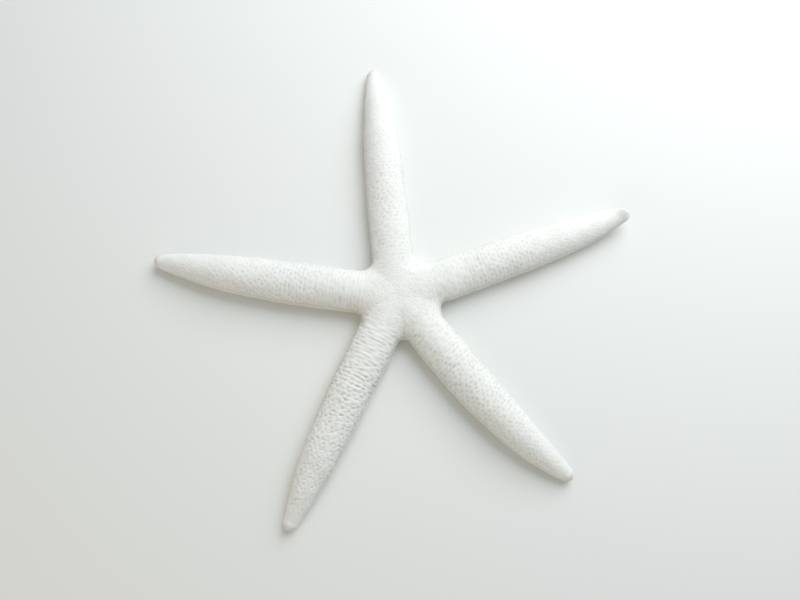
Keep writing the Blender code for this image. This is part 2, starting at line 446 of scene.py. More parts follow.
def make_arm(shape, index):
    """Draw one arm out of a ring at its root, ring by ring, and close its tip."""
    bm = bmesh.new()
    seats = bm.verts.layers.int.new("seat")
    root = root_part(shape, index)
    loop = bmesh.ops.create_circle(bm, segments=AROUND, radius=1.0)["verts"]
    for column, vert in enumerate(loop):
        vert[seats] = index * AROUND + column
        vert.co = ring_point(shape, index, root, column)
    edges = list(dict.fromkeys(edge for vert in loop for edge in vert.link_edges))
    for ring in range(1, RINGS + 1):
        t = mix(root, DOME_START, ring / RINGS)
        edges = extrude_ring(bm, seats, edges, lambda i, c: ring_point(shape, i, t, c))
    for ring in range(1, DOME_RINGS):
        size = cos(pi / 2.0 * ring / DOME_RINGS)
        edges = extrude_ring(bm, seats, edges, lambda i, c: dome_point(shape, i, c, size))
    close_ring(bm, edges, dome_point(shape, index, 0, 0.0))
    return bm


def rim_edges(bm, seats, first, last):
    """Open edges whose ends both lie between two columns of their arm."""
    return [edge for edge in bm.edges if edge.is_boundary
            and all(first <= vert[seats] % AROUND <= last for vert in edge.verts)]


def make_wall(shape):
    """The whole body wall without its relief, around the middle of the disc."""
    bm = bmesh.new()
    seats = bm.verts.layers.int.new("seat")
    for index in range(len(ARMS)):
        join(bm, make_arm(shape, index))
    bmesh.ops.remove_doubles(bm, verts=bm.verts, dist=WELD)

    edges = rim_edges(bm, seats, 0, BACK)
    for ring in range(1, ROOF_RINGS):
        share = 1.0 - ring / ROOF_RINGS
        edges = extrude_ring(bm, seats, edges, lambda i, c: roof_point(shape, i, c, share))
    close_ring(bm, edges, Vector((0.0, 0.0, shape.disc_height)))

    edges = rim_edges(bm, seats, BACK + FLANK, BACK + FLANK + SOLE)
    for ring in range(1, FLOOR_RINGS + 1):
        share = mix(1.0, MOUTH_LIP, ring / FLOOR_RINGS)
        edges = extrude_ring(bm, seats, edges, lambda i, c: floor_point(shape, i, c, share))
    for ring in range(1, MOUTH_RINGS):
        size = cos(pi / 2.0 * ring / MOUTH_RINGS)
        edges = extrude_ring(bm, seats, edges, lambda i, c: mouth_point(shape, i, c, size))
    close_ring(bm, edges, Vector((0.0, 0.0, shape.mouth_depth)))
    bmesh.ops.recalc_face_normals(bm, faces=bm.faces)
    soften_webs(bm, shape)
    return bm


def soften_webs(bm, shape):
    """Round off the creases where neighbouring arms meet."""
    corners = [crotch(shape, index, 1) for index in range(len(ARMS))]
    for reach, times in ((9.0 * MM, 10), (6.0 * MM, 16), (3.5 * MM, 24)):
        webs = [vert for vert in bm.verts if vert.co.z > 0.12 * shape.disc_height
                and min(hypot(vert.co.x - 0.86 * corner.x, vert.co.y - 0.86 * corner.y)
                        for corner in corners) < reach]
        for _ in range(times):
            bmesh.ops.smooth_vert(
                bm, verts=webs, factor=0.5, use_axis_x=True, use_axis_y=True, use_axis_z=True)


# A plate of the skin. place: its middle; along: the way from disc to tip; length, width: its size along
# and across the arm; depth: how deep the relief around it is; rib: how far it is part of a rib; tilt: how
# far its ends differ in height.
Plate = namedtuple("Plate", "place along length width depth rib tilt")

# A dimple between plates. along: the way across its short side; length, width: half its short and its
# long side; depth: how deep it is; bend: how far it is bowed, 1 being by its own width.
Dimple = namedtuple("Dimple", "place along length width depth bend")

JITTER = 0.26                 # how far a plate or dimple strays from its place, as a part of its pitch
RIB_JITTER = 0.10             # how far a rib strays along the arm, likewise
TILT = 0.09                   # steepest tilt of a plate
TIP_PITCH = 0.60              # size of the plates at the tip against those halfway
SMOOTH_TIP = 0.985            # from here on an arm is smooth, as a part of its reach
DISC_DEPTH = 0.55             # depth of the disc's relief against the deepest
FLANK_DEPTH = 0.70            # depth of the lower flank's relief against the back's
SOLE_DEPTH = 0.95             # depth of the sole's relief against the deepest
NEIGHBOURS = 12               # plates looked at around a point
SLIT = 0.22                   # width of a slit, as a part of a plate's size
DIMPLES_READ = 6              # dimples looked at around a point
RIB_DEPTH = 1.45              # depth of the relief of a rib against that of single plates
ROW_OVERLAP = 3.5 * MM        # how far the rows begin inside the disc
DISC_RIM = 16.5 * MM          # how far out the disc's own plates go
SOLE_ROWS = (1, 4, 6)         # steps of the sole's outline on which a row of plates lies
SOLE_PITCH = 1.9 * MM         # distance between the plates of a row of the sole
SOLE_WIDTH = 2.6 * MM         # width of such a plate
SOLE_START = 6.0 * MM         # where the sole's rows begin, from the middle of the disc
SOLE_SWELL = 0.15             # how much of the slow unevenness the sole has
GROOVE_RELIEF = 0.2           # how much of the plates' relief is left inside a groove

# Creases along a flank. Their places and widths are sines of the angle on the section.
UPPER_CREASE = 0.36
UPPER_CREASE_WIDTH = 0.055
LOWER_CREASE = -0.12
LOWER_CREASE_WIDTH = 0.06
LOWER_CREASE_DEPTH = 0.8      # against the upper one's
CREASE_WANDER = 0.05          # how far a crease strays up and down
CREASE_FROM = 15.0 * MM       # where the creases begin, from the middle of the disc
CREASE_TO = 112.0 * MM        # where they end
CREASE_FADE = 6.0 * MM        # length over which they begin and end

# Tints, some of them painted light and shade
KEY_LIT_SIDE = Vector((0.8, 0.6, 0.0))   # way that the sides face which the key light falls on; painted light keeps them whiter
IVORY_ON_LIT_SIDE = 0.25            # how much ivory is left on them; the rest is painted light
END_GREY = 0.22               # how far the ends of the arms are greyed
GREY_START = 0.960            # where that begins, as a part of the reach
GREY_LENGTH = 0.030           # length over which it sets in, likewise


def fineness(t):
    """Size of plates and dimples a part t of the way to the tip, against those halfway."""
    return mix(1.0, TIP_PITCH, ease((t - 0.45) / 0.5))


def relief_depth(arm, t, angle):
    """Depth of the relief at an angle on an arm's section, against the deepest."""
    depth = arm.carved * mix(0.8, 1.0, ease((t - 0.25) / 0.15))
    depth *= mix(FLANK_DEPTH, 1.0, ease((sin(angle) + 0.15) / 0.6))
    return depth * fineness(t) * (1.0 - ease((t - 0.88) / (SMOOTH_TIP - 0.88)))


def arm_spots(shape, index, pitch, draw):
    """Staggered rows of spots over an arm's back and flanks.

    pitch gives the distance between rows, that between spots of a row, and how ribbed the arm is there.
    """
    arm = ARMS[index]
    run = root_part(shape, index) * arm.reach - ROW_OVERLAP
    row = 0
    while run < DOME_START * arm.reach:
        t = run / arm.reach
        length, width, rib = pitch(arm, t)
        count = max(round(0.84 * (pi - 2.0 * SOLE_CORNER) * half_width(shape, arm, t) / width), 4)
        for step in range(count + 1):
            share = (step + 0.5 * (row % 2) + JITTER * draw.uniform(-1.0, 1.0)) / count
            angle = mix(SOLE_CORNER, pi - SOLE_CORNER, share)
            shift = mix(JITTER, RIB_JITTER, rib) * draw.uniform(-1.0, 1.0) * length / arm.reach
            yield round_point(shape, index, t + shift, angle), t, angle
        run += length
        row += 1


def arm_plates(shape, relief, draw, index):
    """Plates over the back and flanks of an arm, run together into ribs near the disc."""
    def pitch(arm, t):
        rib = arm.ribbed * (1.0 - ease((t - 0.30) / 0.25))
        fine = fineness(t)
        width = mix(relief.plate_width * fine, relief.rib_width, rib)
        return relief.row_pitch * fine * mix(1.0, 0.86, rib), width, max(rib, 0.6 * arm.slit)

    plates = []
    for place, t, angle in arm_spots(shape, index, pitch, draw):
        length, width, rib = pitch(ARMS[index], t)
        depth = relief_depth(ARMS[index], t, angle)
        depth *= mix(1.0, RIB_DEPTH, rib)
        tilt = TILT * draw.uniform(-1.0, 1.0)
        plates.append(Plate(place, forward(ARMS[index]), length, width, depth, rib, tilt))
    return plates


def arm_dimples(shape, relief, draw, index):
    """Dimples over the back and flanks of an arm: slits where the arm is slit, else small round pits."""
    def pitch(arm, t):
        fine = fineness(t)
        rib = arm.ribbed * (1.0 - ease((t - 0.18) / 0.22))
        wide = mix(1.12, 1.42, arm.slit) * mix(1.0, 1.7, rib)
        return relief.row_pitch * fine * mix(0.92, 1.0, arm.slit), relief.row_pitch * fine * wide, 0.0

    dimples = []
    for place, t, angle in arm_spots(shape, index, pitch, draw):
        arm = ARMS[index]
        row, column, _ = pitch(arm, t)
        across = round_point(shape, index, t, angle - 0.02) - round_point(shape, index, t, angle)
        across = across.normalized()
        turn = 0.35 * draw.uniform(-1.0, 1.0)
        along = cos(turn) * forward(arm) + sin(turn) * across
        length = row * mix(0.22, 0.20, arm.slit) * draw.uniform(0.85, 1.15)
        width = column * mix(0.24, 0.36, arm.slit) * draw.uniform(0.8, 1.2)
        depth = relief.pit_depth * relief_depth(arm, t, angle) * draw.uniform(0.55, 1.15)
        depth *= 1.0 - 0.55 * arm.ribbed * (1.0 - ease((t - 0.18) / 0.22))
        dimples.append(Dimple(place, along, length, width, depth, 0.35 * draw.uniform(-1.0, 1.0)))
    return dimples


def sole_plates(shape, draw, index):
    """Rows of plates along both sides of an arm's groove."""
    arm = ARMS[index]
    plates = []
    for step in SOLE_ROWS:
        for place in (step, SOLE - step):
            run = SOLE_START
            while run < SMOOTH_TIP * arm.reach:
                t = max(run / arm.reach, root_part(shape, index))
                point = sole_point(shape, index, t, place)
                point += (run / arm.reach - t) * arm.reach * forward(arm)
                plates.append(Plate(point, forward(arm), SOLE_PITCH, SOLE_WIDTH, SOLE_DEPTH, 1.0, 0.0))
                run += SOLE_PITCH * draw.uniform(0.9, 1.1)
    return plates


def disc_spots(surface, shape, pitch, draw):
    """Rings of spots over the disc's roof."""
    radius = 0.0
    while radius < DISC_RIM:
        count = max(round(2.0 * pi * radius / pitch), 1)
        first = draw.uniform(0.0, 1.0)
        for step in range(count):
            bearing = 2.0 * pi * (step + first + JITTER * draw.uniform(-1.0, 1.0)) / count
            out = radius + JITTER * pitch * draw.uniform(-1.0, 1.0)
            above = Vector((out * cos(bearing), out * sin(bearing), 2.0 * shape.disc_height))
            hit = surface.ray_cast(above, Vector((0.0, 0.0, -1.0)))[0]
            if hit is not None and hit.z > 0.6 * shape.disc_height:
                yield hit, Vector((cos(bearing), sin(bearing), 0.0))
        radius += 0.9 * pitch


def disc_plates(surface, shape, relief, draw):
    return [Plate(place, along, relief.disc_pitch, relief.disc_pitch, DISC_DEPTH, 0.0,
                  TILT * draw.uniform(-1.0, 1.0))
            for place, along in disc_spots(surface, shape, relief.disc_pitch, draw)]


def disc_dimples(surface, shape, relief, draw):
    dimples = []
    for place, along in disc_spots(surface, shape, 0.95 * relief.disc_pitch, draw):
        size = 0.30 * relief.disc_pitch * draw.uniform(0.8, 1.2)
        depth = 0.7 * relief.pit_depth * DISC_DEPTH * draw.uniform(0.4, 1.0)
        dimples.append(Dimple(place, along, size, 1.2 * size, depth, 0.0))
    return dimples


def nearest(spots, tree, point):
    """Distances from a point to the spots around it, in the spots' own sizes, nearest first."""
    near = []
    for _, number, _ in tree.find_n(point, NEIGHBOURS):
        spot = spots[number]
        away = point - spot.place
        lengthwise = away.dot(spot.along)
        crosswise = away.length_squared - lengthwise * lengthwise
        near.append((sqrt((lengthwise / spot.length) ** 2 + crosswise / spot.width ** 2), number))
    near.sort()
    return near


def plate_height(relief, plates, tree, point):
    """Height of the plates' relief at a point, and how far down in a slit between ribs it is."""
    near = nearest(plates, tree, point)
    (first, one), (second, two) = near[:2]
    weight = total = ribbed = 0.0
    for gap, number in near[:4]:
        share = 1.0 / (gap * gap + 0.05)
        weight += share
        total += share * plates[number].depth
        ribbed += share * plates[number].rib
    depth = total / weight
    rib = ribbed / weight
    plate = plates[one]
    between = plates[two].place - plate.place
    lengthwise = between.dot(plate.along)
    crosswise = sqrt(max(between.length_squared - lengthwise ** 2, 0.0)) / plate.width
    lengthwise = abs(lengthwise) / plate.length
    rowwise = (lengthwise / (lengthwise + crosswise + 0.001)) ** 2
    slit = exp(-((second - first) / SLIT) ** 2)
    slit *= mix(0.70, 0.95, rib) + mix(0.9, 0.5, rib) * noise.noise(point * 600.0)
    crown = 1.0 - min(first / 0.7, 1.0) ** 2
    tilt = plate.tilt * (point - plate.place).dot(plate.along) * (1.0 - exp(-((second - first) / 0.3) ** 2))
    deep = mix(relief.seam_depth, relief.slit_depth, rowwise * (0.15 + 0.85 * rib))
    height = 0.5 * relief.seam_depth * crown + tilt - deep * slit
    return depth * height, depth * slit * rowwise * rib


def dimple_depth(dimples, tree, point):
    """Depth of the dimples at a point."""
    depth = 0.0
    for _, number, _ in tree.find_n(point, DIMPLES_READ):
        dimple = dimples[number]
        away = point - dimple.place
        lengthwise = away.dot(dimple.along)
        crosswise = (away.length_squared - lengthwise * lengthwise) / dimple.width ** 2
        bowed = lengthwise + dimple.bend * dimple.width * crosswise
        reach = (bowed / dimple.length) ** 2 + crosswise
        if reach < 9.0:
            depth = max(depth, dimple.depth * exp(-reach))
    return depth


def plant(spots):
    """Tree that finds the spots around a point."""
    tree = KDTree(len(spots))
    for number, spot in enumerate(spots):
        tree.insert(spot.place, number)
    tree.balance()
    return tree


def column_angle(column):
    """Angle on the section of a column of the back or a flank, or None for one of the sole."""
    if column <= BACK:
        return mix(pi - BACK_CORNER, BACK_CORNER, 1.0 - column / BACK)
    if column <= BACK + FLANK:
        return pi - mix(BACK_CORNER, SOLE_CORNER, (column - BACK) / FLANK)
    if column < BACK + FLANK + SOLE:
        return None
    return mix(SOLE_CORNER, BACK_CORNER, (column - BACK - FLANK - SOLE) / FLANK)


def crease(point, angle):
    """Depth of the creases along a flank at a point, against the deepest."""
    lift = sin(angle)
    wander = CREASE_WANDER * noise.noise(point * 120.0)
    upper = exp(-((lift - UPPER_CREASE - wander) / UPPER_CREASE_WIDTH) ** 2)
    lower = LOWER_CREASE_DEPTH * exp(-((lift - LOWER_CREASE + wander) / LOWER_CREASE_WIDTH) ** 2)
    radius = hypot(point.x, point.y)
    begun = ease((radius - CREASE_FROM) / CREASE_FADE)
    ended = ease((radius - CREASE_TO) / CREASE_FADE)
    return (upper + lower) * begun * (1.0 - ended)


def greying_and_hollow_shade(arm, point, angle):
    """How far a point is greyed: the ends of the arms a little, and the hollow before a tip fully, as painted
    shade on its slope turned from the key light.
    """
    outward = point.dot(forward(arm)) / arm.reach
    # painted shade: the hollow's slope, turned from the key light, is greyed
    hollow_shade = 0.0 if angle is None else hollow(outward) * max(sin(angle), 0.0) ** 1.5
    return max(END_GREY * ease((outward - GREY_START) / GREY_LENGTH), hollow_shade * min(arm.scoop / MM, 1.0))


def ivory_and_painted_shade(shape, point, normal, angle):
    """Share of ivory at a point: most low down, partly the less bleached underside and partly painted warm
    shade where the flanks turn under, in patches, and little on the side the key light falls on, which is
    painted light.
    """
    low = 1.0 if angle is None else 1.0 - ease((sin(angle) + 0.25) / 0.95)
    low *= 1.0 - ease((point.z / shape.disc_height - 0.55) / 0.40)
    # painted light: sides that face the key light are kept whiter, sides turned away warmer
    low *= mix(1.0, IVORY_ON_LIT_SIDE, ease(0.5 + 0.7 * normal.dot(KEY_LIT_SIDE)))
    patch = noise.noise(point * 60.0 + Vector((3.0, 1.0, 2.0)))
    return min(max(low * (0.8 + 0.5 * patch) + 0.25 * max(patch - 0.15, 0.0), 0.0), 1.0)


def carve(bm, shape, relief):
    """Press the relief into the wall, and note where painted shade darkens the slits, pits and creases, where
    it is ivory, and where it is greyed.
    """
    draw = random.Random(relief.seed)
    surface = BVHTree.FromBMesh(bm)
    plates = disc_plates(surface, shape, relief, draw)
    dimples = disc_dimples(surface, shape, relief, draw)
    for index in range(len(ARMS)):
        plates += arm_plates(shape, relief, draw, index)
        plates += sole_plates(shape, draw, index)
        dimples += arm_dimples(shape, relief, draw, index)
    plate_tree = plant(plates)
    dimple_tree = plant(dimples)

    seats = bm.verts.layers.int["seat"]
    # colour masks: painted shade in the recesses; ivory, partly painted warm shade; greying of the arms'
    # ends, with painted shade in the hollow before a tip
    recess_darkening = bm.verts.layers.float.new("recess_darkening")
    ivory = bm.verts.layers.float.new("ivory")
    grey_and_painted_shade = bm.verts.layers.float.new("grey_and_painted_shade")
    bm.normal_update()
    heights = []
    for vert in bm.verts:
        point = vert.co
        angle = column_angle(vert[seats] % AROUND)
        on_sole = angle is None
        height, cavity = plate_height(relief, plates, plate_tree, point)
        dimple = dimple_depth(dimples, dimple_tree, point)
        on_flank = 0.0 if on_sole else crease(point, angle)
        in_groove = on_sole and vert.normal.z > -0.8 and point.z > 0.3 * MM
        if in_groove:
            height *= GROOVE_RELIEF
        if on_sole and point.z < 0.6 * shape.disc_height:
            dimple = 0.0
        height -= dimple + relief.crease_depth * on_flank
        slow = relief.swell * (noise.noise(point * 75.0) + 0.45 * noise.noise(point * 210.0))
        heights.append(height + slow * (SOLE_SWELL if on_sole else 1.0))
        # painted shade: darker the deeper the slit between ribs, the pit or the flank crease
        vert[recess_darkening] = min(0.6 * cavity + 0.9 * dimple / relief.pit_depth + 0.4 * on_flank, 1.0)
        # greying of the arms' ends, and painted shade in the hollow before a tip
        vert[grey_and_painted_shade] = greying_and_hollow_shade(ARMS[vert[seats] // AROUND], point, angle)
        # ivory: partly real tone, partly painted warm shade and painted light
        vert[ivory] = ivory_and_painted_shade(shape, point, vert.normal, angle)
    for vert, height in zip(bm.verts, heights):
        vert.co += height * vert.normal


class STARFISH_OT_body_wall(bpy.types.Operator):
    """Build the body wall: disc and arms in one skin, with the relief of its plates"""
    bl_idname = "starfish.body_wall"
    bl_label = "Body wall"

    def execute(self, context):
        shape = context.scene.starfish_shape
        bm = make_wall(shape)
        carve(bm, shape, context.scene.starfish_relief)
        bmesh.ops.translate(bm, verts=bm.verts, vec=standing(shape))
        for vert in bm.verts:
            vert.co.z = max(vert.co.z, CAD_LOW.z)
        wall = finish_piece(bm, "body_wall", bleached_skeleton(context.scene.starfish_colours))
        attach(wall, "root")
        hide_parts("starfish")
        return {"FINISHED"}


# ---------------------------------------------------------------- groove spines

SPINE_PITCH = 1.15 * MM       # distance between the spines of a row
SPINE_LENGTH = 1.7 * MM
SPINE_WIDTH = 0.62 * MM
SPINES_FROM = 6.5 * MM        # where the rows begin, from the middle of the disc
SPINES_TO = 0.965             # where they end, as a part of the reach
SPINE_SETBACK = 0.35 * MM     # how far beside the groove's edge a spine's base is
SPINE_LEVEL = 0.34 * MM       # height of its base
JAW_SPINES = 5                # spines on each jaw, between two grooves at the mouth
JAW_RADIUS = 4.3 * MM         # how far their bases are from the middle of the mouth
JAW_PITCH = 0.7 * MM
JAW_LENGTH = 2.6 * MM
JAW_WIDTH = 0.75 * MM
JAW_LEVEL = 0.5 * MM          # height of their bases
JAW_BOW = 0.25 * MM           # how far each next base of a jaw is set back


def add_spine(bm, grain, base, aim, length, width):
    """Add one blunt spine, a long grain that points from its base along aim."""
    turn = aim.to_track_quat("Z", "X").to_matrix().to_4x4()
    size = Matrix.Diagonal((width / 2.0, width / 2.0, length / 2.0, 1.0))
    place = Matrix.Translation(base + aim.normalized() * length * 0.42) @ turn @ size
    first = len(bm.verts)
    bm.from_mesh(grain)
    bm.verts.ensure_lookup_table()
    for vert in bm.verts[first:]:
        vert.co = place @ vert.co


class STARFISH_OT_groove_spines(bpy.types.Operator):
    """Build the rows of blunt spines that close over the grooves, and those of the jaws"""
    bl_idname = "starfish.groove_spines"
    bl_label = "Groove spines"

    def execute(self, context):
        shape = context.scene.starfish_shape
        draw = random.Random(context.scene.starfish_relief.seed + 1)
        bm = bmesh.new()
        bmesh.ops.create_uvsphere(bm, u_segments=6, v_segments=5, radius=1.0)
        grain = bpy.data.meshes.new("grain")
        bm.to_mesh(grain)
        bm.clear()
        for index, arm in enumerate(ARMS):
            ahead = forward(arm)
            run = SPINES_FROM
            while run < SPINES_TO * arm.reach:
                t = run / arm.reach
                size = mix(1.0, 0.5, ease((t - 0.5) / 0.5))
                root = root_part(shape, index)
                narrow = mix(GROOVE_AT_MOUTH, 1.0, min(t / root, 1.0)) * mix(1.0, GROOVE_AT_TIP, t)
                edge = narrow * shape.groove_width / 2.0 + SPINE_SETBACK
                for side in (-1.0, 1.0):
                    base = arm_point(arm, t, side * edge, SPINE_LEVEL)
                    inward = arm_point(arm, t, 0.0, SPINE_LEVEL) - base
                    aim = inward.normalized() + draw.uniform(0.05, 0.5) * ahead
                    aim.z = draw.uniform(0.0, 0.18)
                    length = size * SPINE_LENGTH * draw.uniform(0.85, 1.1)
                    add_spine(bm, grain, base, aim, length, size * SPINE_WIDTH * draw.uniform(0.9, 1.1))
                run += size * SPINE_PITCH * draw.uniform(0.9, 1.1)
        for index in range(len(ARMS)):
            corner = crotch(shape, index, 1).normalized()
            beside = Vector((-corner.y, corner.x, 0.0))
            for spine in range(JAW_SPINES):
                step = spine - (JAW_SPINES - 1) / 2.0
                base = JAW_RADIUS * corner + JAW_PITCH * step * beside + Vector((0.0, 0.0, JAW_LEVEL))
                base += JAW_BOW * abs(step) * corner
                aim = -corner - 0.12 * step * beside + Vector((0.0, 0.0, 0.12))
                add_spine(bm, grain, base, aim, JAW_LENGTH, JAW_WIDTH)
        bpy.data.meshes.remove(grain)
        bmesh.ops.recalc_face_normals(bm, faces=bm.faces)
        bmesh.ops.translate(bm, verts=bm.verts, vec=standing(shape))
        spines = finish_piece(bm, "groove_spines", calcite_spine(context.scene.starfish_colours))
        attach(spines, "root")
        return {"FINISHED"}


# ---------------------------------------------------------------- sieve plate


SIEVE_RADIUS = 1.9 * MM
SIEVE_HEIGHT = 0.30 * MM
SIEVE_FURROWS = 14
SIEVE_RINGS = 9
SIEVE_PLACE = 0.62            # where it lies on the way from the middle to the crotch
FURROW_DEPTH = 0.14 * MM
SIEVE_ROOT = 1.2 * MM         # how far its rim goes down into the wall


class STARFISH_OT_sieve_plate(bpy.types.Operator):
    """Build the furrowed sieve plate on the back, near the crotch between two arms"""
    bl_idname = "starfish.sieve_plate"
    bl_label = "Sieve plate"

    def execute(self, context):
        shape = context.scene.starfish_shape
        bm = bmesh.new()
        segments = 4 * SIEVE_FURROWS
        loop = bmesh.ops.create_circle(bm, segments=segments, radius=SIEVE_RADIUS, cap_ends=True)
        face = loop["verts"][0].link_faces[0]
        for _ in range(SIEVE_RINGS):
            bmesh.ops.inset_region(bm, faces=[face], thickness=SIEVE_RADIUS / (SIEVE_RINGS + 1.0))
        bmesh.ops.poke(bm, faces=[face])
        for vert in bm.verts:
            out = hypot(vert.co.x, vert.co.y) / SIEVE_RADIUS
            bearing = Vector((vert.co.x, vert.co.y)).angle_signed(Vector((1.0, 0.0)), 0.0)
            furrow = 0.5 - 0.5 * cos(SIEVE_FURROWS * bearing + 2.5 * sin(9.0 * out))
            dome = max(1.0 - out ** 3, 0.0)
            depth = FURROW_DEPTH * furrow * ease(4.0 * out) * ease(4.0 * (1.0 - out))
            vert.co.z = SIEVE_HEIGHT * dome - depth
        rim = [edge for edge in bm.edges if edge.is_boundary]
        base = bmesh.ops.extrude_edge_only(bm, edges=rim)["geom"]
        for vert in base:
            if isinstance(vert, bmesh.types.BMVert):
                vert.co.z -= SIEVE_ROOT
        bmesh.ops.edgeloop_fill(bm, edges=[edge for edge in base if isinstance(edge, bmesh.types.BMEdge)])
        bmesh.ops.recalc_face_normals(bm, faces=bm.faces)
        above = Vector((0.0, 0.0, 2.0 * shape.disc_height))
        spot = SIEVE_PLACE * crotch(shape, 0, 1) + standing(shape) + above
        wall = bpy.data.objects["body_wall"]
        found, place, normal, _ = wall.ray_cast(spot, Vector((0.0, 0.0, -1.0)))
        if not found:
            raise RuntimeError("the body wall isn't under the sieve plate")
        turn = (normal + Vector((0.0, 0.0, 2.0))).to_track_quat("Z", "Y").to_matrix().to_4x4()
        bmesh.ops.transform(bm, verts=bm.verts, matrix=Matrix.Translation(place) @ turn)
        sieve = finish_piece(bm, "sieve_plate", bpy.data.materials["bleached_calcite_skin"])
        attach(sieve, "root")
        return {"FINISHED"}


def finish_piece(bm, name, material):
    """Turn a finished bmesh into a smooth-shaded object at the origin."""
    mesh = bpy.data.meshes.new(name)
    bm.to_mesh(mesh)
    bm.free()
    mesh.shade_smooth()
    mesh.materials.append(material)
    piece = bpy.data.objects.new(name, mesh)
    bpy.context.scene.collection.objects.link(piece)
    return piece


# ---------------------------------------------------------------- materials


def linear(code):
    """Turn an sRGB hex value into linear red, green, blue and alpha."""
    parts = [int(code[place:place + 2], 16) / 255.0 for place in (1, 3, 5)]
    return [part / 12.92 if part <= 0.04045 else ((part + 0.055) / 1.055) ** 2.4 for part in parts] + [1.0]


def add_node(tree, kind, settings, links):
    """Add a node: settings are its properties, or its sockets' values by number or name."""
    node = tree.nodes.new(kind)
    for key, value in settings.items():
        if isinstance(key, str) and hasattr(node, key):
            setattr(node, key, value)
        else:
            node.inputs[key].default_value = value
    for key, socket in links.items():
        tree.links.new(socket, node.inputs[key])
    return node


def new_material(name):
    material = bpy.data.materials.new(name)
    material.use_nodes = True
    return material, material.node_tree, material.node_tree.nodes["Principled BSDF"]


def bleached_skeleton(colours):
    """Bleached starfish skeleton.

    Porous calcite plates, dried and bleached in the sun: chalk white and fully matt, with fine granules
    that break up the light, ivory where the bleach reached less and as painted warm shade on the sides turned
    from the key light, painted shade in the slits, pits and creases, and greyer arm ends with painted shade
    in the hollow before a tip.
    """
    material, tree, shader = new_material("bleached_calcite_skin")
    place = add_node(tree, "ShaderNodeTexCoord", {}, {}).outputs["Object"]
    recess_darkening = add_node(tree, "ShaderNodeAttribute", {"attribute_name": "recess_darkening"}, {}).outputs["Fac"]
    ivory = add_node(tree, "ShaderNodeAttribute", {"attribute_name": "ivory"}, {}).outputs["Fac"]
    grey_and_painted_shade = add_node(tree, "ShaderNodeAttribute", {"attribute_name": "grey_and_painted_shade"}, {}).outputs["Fac"]

    # blotches some 12 mm across, a few per cent darker
    blotch = add_node(tree, "ShaderNodeTexNoise", {"Scale": 85.0, "Detail": 4.0}, {"Vector": place})
    blotchy = add_node(
        tree, "ShaderNodeMapRange", {"From Min": 0.35, "From Max": 0.7, "To Min": 1.0, "To Max": 0.955},
        {"Value": blotch.outputs["Fac"]})
    # granules of 0.4 mm, drawn at 0.55 mm so that they show
    granule = add_node(tree, "ShaderNodeTexVoronoi", {"Scale": 1800.0, "Randomness": 0.9}, {"Vector": place})
    grain = add_node(tree, "ShaderNodeTexNoise", {"Scale": 5200.0, "Detail": 3.0}, {"Vector": place})

    # ivory mask: the less bleached tone low down, and painted warm shade on sides turned from the key light
    tinted = add_node(
        tree, "ShaderNodeMix", {"data_type": "RGBA", 6: linear(colours.bone), 7: linear(colours.ivory)},
        {0: ivory})
    # painted shade: darkens the slits, pits and creases
    recess_shaded = add_node(
        tree, "ShaderNodeMix", {"data_type": "RGBA", 7: linear(colours.painted_recess_shade)},
        {0: recess_darkening, 6: tinted.outputs[2]})
    # greys the ends of the arms, and paints shade into the hollow before a tip
    greyed = add_node(
        tree, "ShaderNodeMix", {"data_type": "RGBA", 7: linear(colours.grey_and_painted_shade)},
        {0: grey_and_painted_shade, 6: recess_shaded.outputs[2]})
    shaded = add_node(
        tree, "ShaderNodeMix", {"data_type": "RGBA", "blend_type": "MULTIPLY", 0: 1.0},
        {6: greyed.outputs[2], 7: blotchy.outputs["Result"]})
    tree.links.new(shaded.outputs[2], shader.inputs["Base Color"])

    chalk = add_node(
        tree, "ShaderNodeBump", {"Strength": 0.5, "Distance": 0.07 * MM}, {"Height": grain.outputs["Fac"]})
    bumps = add_node(
        tree, "ShaderNodeBump", {"Strength": 0.8, "Distance": 0.14 * MM, "invert": True},
        {"Height": granule.outputs["Distance"], "Normal": chalk.outputs["Normal"]})
    tree.links.new(bumps.outputs["Normal"], shader.inputs["Normal"])
    shader.inputs["Roughness"].default_value = 0.88
    shader.inputs["IOR"].default_value = 1.49
    shader.inputs["Specular IOR Level"].default_value = 0.35
    return material


def calcite_spine(colours):
    """Small solid calcite parts: the spines.

    Denser than the skin, so a little smoother, and more ivory because the bleach stays outside.
    """
    material, tree, shader = new_material("dense_calcite")
    place = add_node(tree, "ShaderNodeTexCoord", {}, {}).outputs["Object"]
    blotch = add_node(tree, "ShaderNodeTexNoise", {"Scale": 500.0, "Detail": 3.0}, {"Vector": place})
    tinted = add_node(
        tree, "ShaderNodeMix", {"data_type": "RGBA", 6: linear(colours.bone), 7: linear(colours.ivory)},
        {0: blotch.outputs["Fac"]})
    tree.links.new(tinted.outputs[2], shader.inputs["Base Color"])
    grain = add_node(tree, "ShaderNodeTexNoise", {"Scale": 4200.0, "Detail": 3.0}, {"Vector": place})
    chalk = add_node(
        tree, "ShaderNodeBump", {"Strength": 0.3, "Distance": 0.05 * MM}, {"Height": grain.outputs["Fac"]})
    tree.links.new(chalk.outputs["Normal"], shader.inputs["Normal"])
    shader.inputs["Roughness"].default_value = 0.72
    shader.inputs["IOR"].default_value = 1.49
    return material


def floor_paper(colours):
    """Matt coated paper, pale and even, with no grain that shows at this distance."""
    material, tree, shader = new_material("pale_matt_paper")
    shader.inputs["Base Color"].default_value = linear(colours.floor)
    shader.inputs["Roughness"].default_value = 0.95
    shader.inputs["Specular IOR Level"].default_value = 0.1
    return material


# ---------------------------------------------------------------- stage


